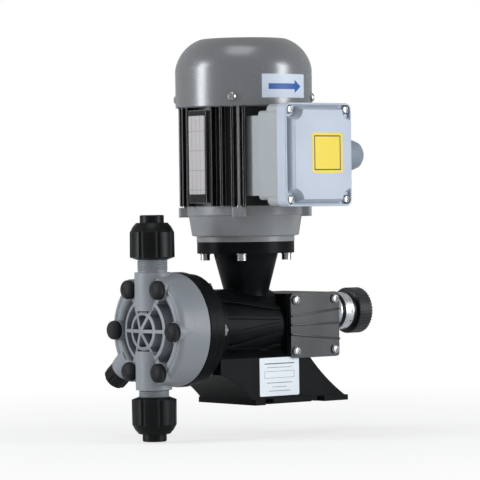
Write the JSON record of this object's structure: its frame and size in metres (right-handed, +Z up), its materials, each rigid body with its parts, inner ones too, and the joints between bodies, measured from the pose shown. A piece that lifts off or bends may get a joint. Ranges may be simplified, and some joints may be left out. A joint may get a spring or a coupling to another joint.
{
  "type": "diaphragm metering pump",
  "caption": "Motor-driven mechanical diaphragm dosing pump: finned flange motor on a black worm-gear casing, round plastic pump head with ball valves, and a graduated stroke knob.",
  "frame": {"origin": "on the plane of the base, on the axis of the motor", "axes": "+X along the pump axis to the stroke knob, with the pump head at -X; +Z up along the motor axis; the terminal box and the side cover face -Y"},
  "size_m": [0.2669, 0.1814, 0.3642],
  "materials": {
    "casing_black": "satin black",
    "black_plastic": "matt black",
    "gasket": "matt",
    "zinc_steel": "bright zinc",
    "bearing_steel": "ground",
    "gear_steel": "machined",
    "bronze": "machined",
    "spring_steel": "oiled",
    "diaphragm_white": "smooth",
    "head_grey": "moulded bluish grey",
    "cage_plastic": "moulded",
    "ball_glass": "polished",
    "aluminium": "turned",
    "dial_silver": "satin",
    "motor_grey": "satin paint",
    "cowl_grey": "satin paint",
    "housing_black": "satin paint",
    "lamination": "laminated",
    "copper": "varnished wire",
    "lid_grey": "moulded",
    "gland_grey": "moulded",
    "brass": "plain"
  },
  "bodies": {
    "body": {"gear_casing": "casing_black", "side_cover": "casing_black", "side_cover_gasket": "gasket", "side_cover_screws": "zinc_steel", "motor_flange_screws": "zinc_steel", "worm_bearings": "bearing_steel", "cross_bearings": "bearing_steel", "guide_bush": "bronze", "return_spring": "spring_steel", "diaphragm": "diaphragm_white", "backing_ring": "casing_black", "pump_head": "head_grey", "head_bolts": "zinc_steel", "head_bolt_caps": "black_plastic", "head_bolt_nuts": "zinc_steel", "discharge_nut": "black_plastic", "suction_nut": "black_plastic", "discharge_connector": "black_plastic", "suction_connector": "black_plastic", "discharge_valve_cage": "cage_plastic", "suction_valve_cage": "cage_plastic", "valve_seals": "gasket", "adjuster_sleeve": "aluminium", "lock_ring": "black_plastic", "drive_end_shield": "motor_grey", "stator_housing": "housing_black", "non_drive_shield": "motor_grey", "tie_rods": "zinc_steel", "stator_core": "lamination", "stator_windings": "copper", "motor_bearings": "bearing_steel", "fan_cowl": "cowl_grey", "fan_cowl_screws": "zinc_steel", "terminal_box_base": "motor_grey", "terminal_box_gasket": "gasket", "terminal_box_lid": "lid_grey", "terminal_lid_screws": "zinc_steel", "terminal_block": "cage_plastic", "terminal_studs": "brass", "cable_gland_body": "gland_grey", "cable_gland_nut": "gland_grey"},
    "rotor": {"motor_shaft": "gear_steel", "rotor_core": "lamination", "cooling_fan": "black_plastic", "worm": "gear_steel"},
    "gear_shaft": {"worm_wheel": "bronze", "cross_shaft": "gear_steel", "eccentric_discs": "gear_steel"},
    "plunger": {"push_yoke": "gear_steel", "push_rod": "gear_steel", "diaphragm_insert": "gear_steel"},
    "stroke_knob": {"adjusting_knob": "black_plastic", "graduated_ring": "dial_silver", "knob_cap": "black_plastic"},
    "stroke_spindle": {"adjusting_spindle": "gear_steel"},
    "suction_valve_ball": {"suction_ball": "ball_glass"},
    "discharge_valve_ball": {"discharge_ball": "ball_glass"},
    "bleed_valve": {"bleed_knob": "black_plastic"}
  },
  "joints": [
    {"name": "rotor_spin", "type": "hinge", "parent": "body", "child": "rotor", "pos_m": [0, 0, 0.226], "axis": [0, 0, 1], "continuous": true},
    {"name": "wheel_spin", "type": "hinge", "parent": "body", "child": "gear_shaft", "pos_m": [0.036, 0, 0.07], "axis": [0, 1, 0], "continuous": true},
    {"name": "push_slide", "type": "slide", "parent": "body", "child": "plunger", "axis": [-1, 0, 0], "range_m": [0, 0.004], "stiffness_N_per_m": 4000, "springref_m": -0.008, "deforming": ["return_spring", "diaphragm"]},
    {"name": "knob_turn", "type": "hinge", "parent": "body", "child": "stroke_knob", "pos_m": [0.125, 0, 0.081], "axis": [-1, 0, 0], "range_deg": [0, 1440]},
    {"name": "spindle_slide", "type": "slide", "parent": "body", "child": "stroke_spindle", "axis": [-1, 0, 0], "range_m": [0, 0.004]},
    {"name": "suction_ball_lift", "type": "slide", "parent": "body", "child": "suction_valve_ball", "axis": [0, 0, 1], "range_m": [0, 0.0025]},
    {"name": "discharge_ball_lift", "type": "slide", "parent": "body", "child": "discharge_valve_ball", "axis": [0, 0, 1], "range_m": [0, 0.0025]},
    {"name": "bleed_turn", "type": "hinge", "parent": "body", "child": "bleed_valve", "pos_m": [-0.1034, 0.05185, 0.03369], "axis": [0, 0.8192, -0.5736], "range_deg": [0, 360]}
  ],
  "couplings": [
    {"joint": "wheel_spin", "follows": "rotor_spin", "ratio": -0.041667},
    {"joint": "spindle_slide", "follows": "knob_turn", "m_per_rad": 0.0001591}
  ]
}
